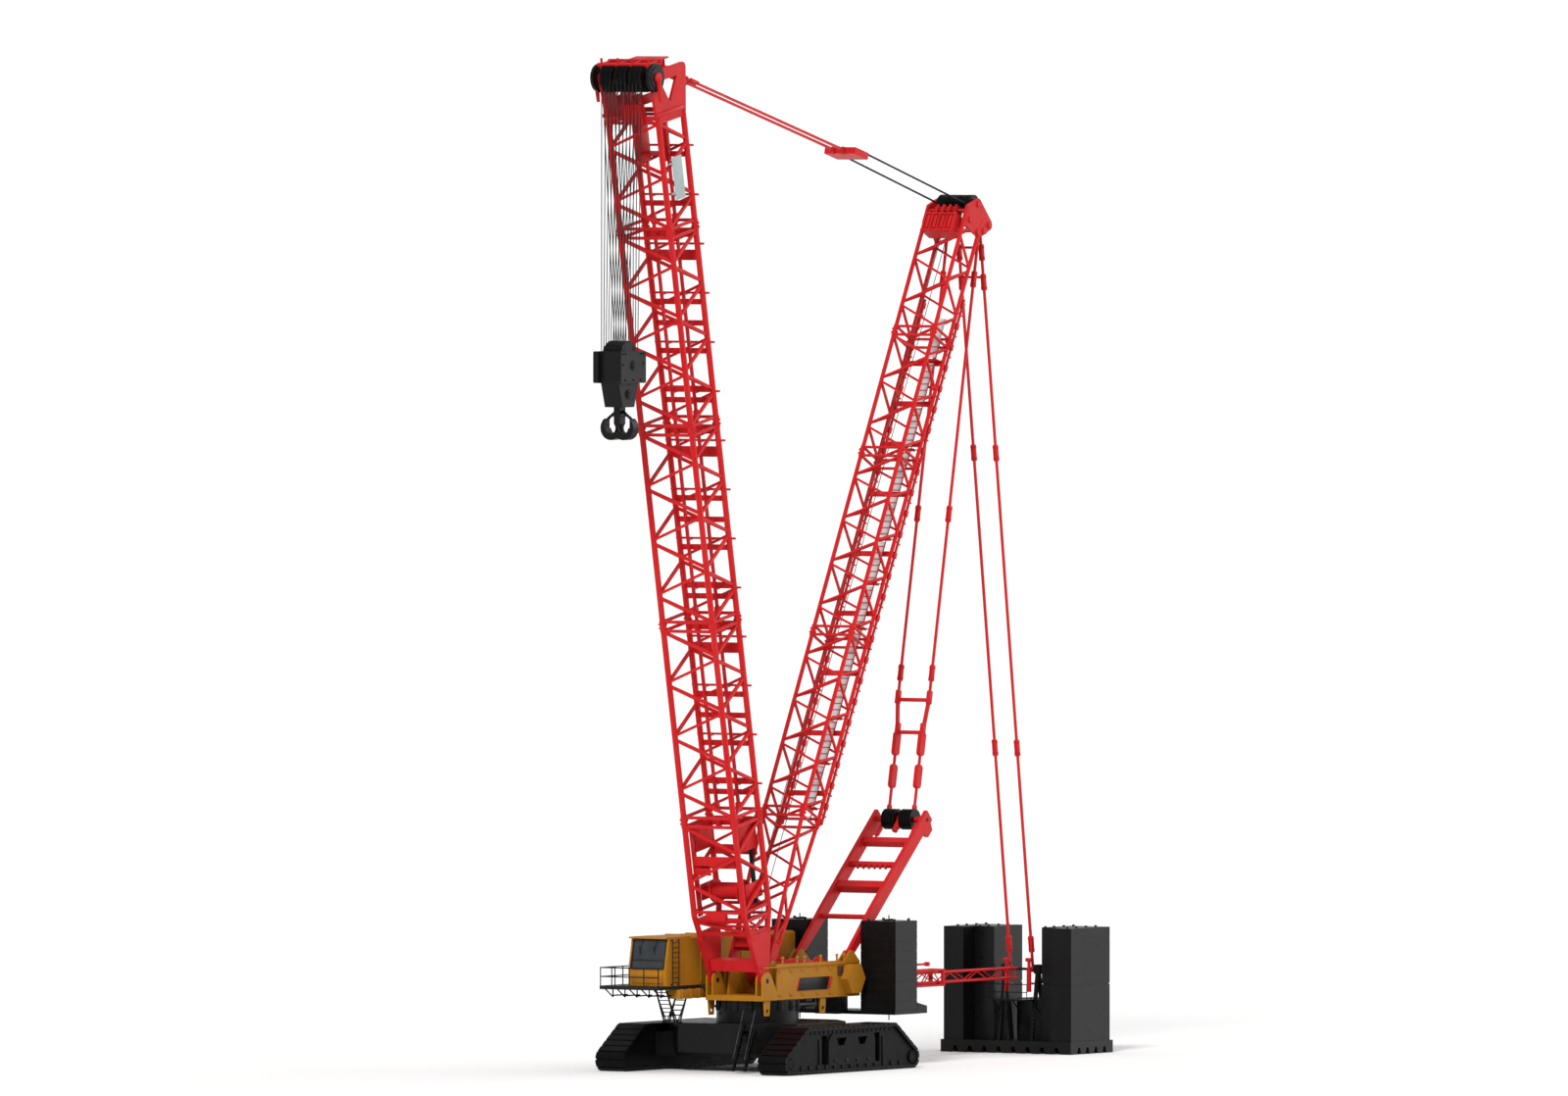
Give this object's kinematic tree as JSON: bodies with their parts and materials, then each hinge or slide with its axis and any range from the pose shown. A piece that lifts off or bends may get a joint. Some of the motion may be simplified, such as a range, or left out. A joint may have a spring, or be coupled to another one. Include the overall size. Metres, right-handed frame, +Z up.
{
  "type": "crawler crane with superlift mast, 1:2 scale model",
  "caption": "Lattice-boom crawler crane with superlift mast, stays, A-frame and hanging ballast tray; slews, luffs and hoists a ramshorn hook block.",
  "frame": {"origin": "on the ground, on the slewing axis", "axes": "+X forwards, towards the hook; +Y to the crane's left; +Z up"},
  "size_m": [24.4543, 6.8, 30.4238],
  "materials": {
    "red_paint": "satin",
    "yellow_paint": "satin",
    "dark_paint": "matte",
    "grey_paint": "matte",
    "track_steel": "matte",
    "sheave_steel": "satin",
    "rope_steel": "satin",
    "cab_glass": "gloss",
    "seat_plastic": "matte"
  },
  "bodies": {
    "carrier": {"car_body": "dark_paint", "left_track": "track_steel", "right_track": "track_steel", "left_crawler_frame": "dark_paint", "right_crawler_frame": "dark_paint", "access_stair": "dark_paint"},
    "upper": {"turntable": "dark_paint", "slew_platform": "yellow_paint", "hoist_winch": "red_paint", "luffing_winch": "red_paint", "side_deck": "grey_paint", "cab_handrail": "grey_paint", "hanging_ladder": "dark_paint", "machinery_house": "yellow_paint", "cab_shell": "yellow_paint", "cab_glass": "cab_glass", "cab_seat": "seat_plastic", "ballast_tray": "dark_paint", "left_ballast_stack": "dark_paint", "right_ballast_stack": "dark_paint", "boom_foot_pin": "sheave_steel", "mast_butt": "red_paint", "mast_insert_1": "red_paint", "mast_insert_2": "red_paint", "mast_insert_3": "red_paint", "mast_head": "red_paint", "mast_head_sheaves": "sheave_steel", "mast_stay": "red_paint", "a_frame": "red_paint", "a_frame_sheaves": "sheave_steel"},
    "cab_door": {"cab_door": "yellow_paint"},
    "boom": {"boom_butt": "red_paint", "boom_insert_1": "red_paint", "boom_insert_2": "red_paint", "boom_insert_3": "red_paint", "boom_head": "red_paint"},
    "hoist_falls": {"boom_head_sheaves": "sheave_steel", "hoist_ropes": "rope_steel"},
    "hook_block": {"hook_block": "dark_paint"},
    "hook": {"hook": "dark_paint"},
    "boom_stay": {"boom_pendants": "red_paint", "luffing_block": "red_paint"},
    "luffing_ropes": {"luffing_ropes": "rope_steel"},
    "superlift": {"superlift_pendants": "red_paint", "superlift_tray": "dark_paint", "superlift_trestle": "dark_paint", "superlift_left_stack": "dark_paint", "superlift_right_stack": "dark_paint", "superlift_middle_stack": "dark_paint"},
    "strut_outer": {"strut_outer": "red_paint"},
    "strut_inner": {"strut_inner": "red_paint"}
  },
  "joints": [
    {"name": "slew", "type": "hinge", "parent": "carrier", "child": "upper", "pos_m": [0, 0, 0], "axis": [0, 0, 1], "continuous": true},
    {"name": "boom_luff", "type": "hinge", "parent": "upper", "child": "boom", "pos_m": [1.025, 0, 2.7], "axis": [0, -1, 0], "range_deg": [-48.9, 6]},
    {"name": "falls_turn", "type": "hinge", "parent": "boom", "child": "hoist_falls", "pos_m": [7.11327, 0, 29.78456], "axis": [0, 1, 0], "range_deg": [-49, 6.1]},
    {"name": "hoist", "type": "slide", "parent": "hoist_falls", "child": "hook_block", "axis": [0, 0, -1], "range_m": [-5, 18], "deforming": ["hoist_ropes"]},
    {"name": "hook_swivel", "type": "hinge", "parent": "hook_block", "child": "hook", "pos_m": [7.52925, 0, 19.98456], "axis": [0, 0, 1], "continuous": true},
    {"name": "boom_stay_turn", "type": "hinge", "parent": "boom", "child": "boom_stay", "pos_m": [5.53339, 0, 30.09452], "axis": [0, 1, 0], "range_deg": [-21.56, 2.91]},
    {"name": "luffing_rope_run", "type": "slide", "parent": "boom_stay", "child": "luffing_ropes", "axis": [-0.9696, 0, -0.2448], "range_m": [-2.4234, 19.6079], "deforming": ["luffing_ropes"]},
    {"name": "superlift_swing", "type": "hinge", "parent": "upper", "child": "superlift", "pos_m": [-11.74394, 0, 25.2446], "axis": [0, 1, 0], "range_deg": [0, 5]},
    {"name": "strut_swing", "type": "hinge", "parent": "upper", "child": "strut_outer", "pos_m": [-4.33, 0, 2.44], "axis": [0, 1, 0], "range_deg": [-0.1, 1.58]},
    {"name": "strut_run", "type": "slide", "parent": "strut_outer", "child": "strut_inner", "axis": [-1, 0, 0], "range_m": [-0.02, 2.0018]},
    {"name": "cab_door_swing", "type": "hinge", "parent": "upper", "child": "cab_door", "pos_m": [1.93, -2.6123, 3.2], "axis": [0, 0, -1], "range_deg": [0, 95]}
  ],
  "couplings": [
    {"joint": "strut_swing", "follows": "superlift_swing", "ratio": 0.29663},
    {"joint": "strut_run", "follows": "superlift_swing", "m_per_rad": 22.71},
    {"joint": "falls_turn", "follows": "boom_luff", "ratio": 1},
    {"joint": "boom_stay_turn", "follows": "boom_luff", "ratio": 0.43474},
    {"joint": "luffing_rope_run", "follows": "boom_luff", "m_per_rad": -22.951}
  ]
}
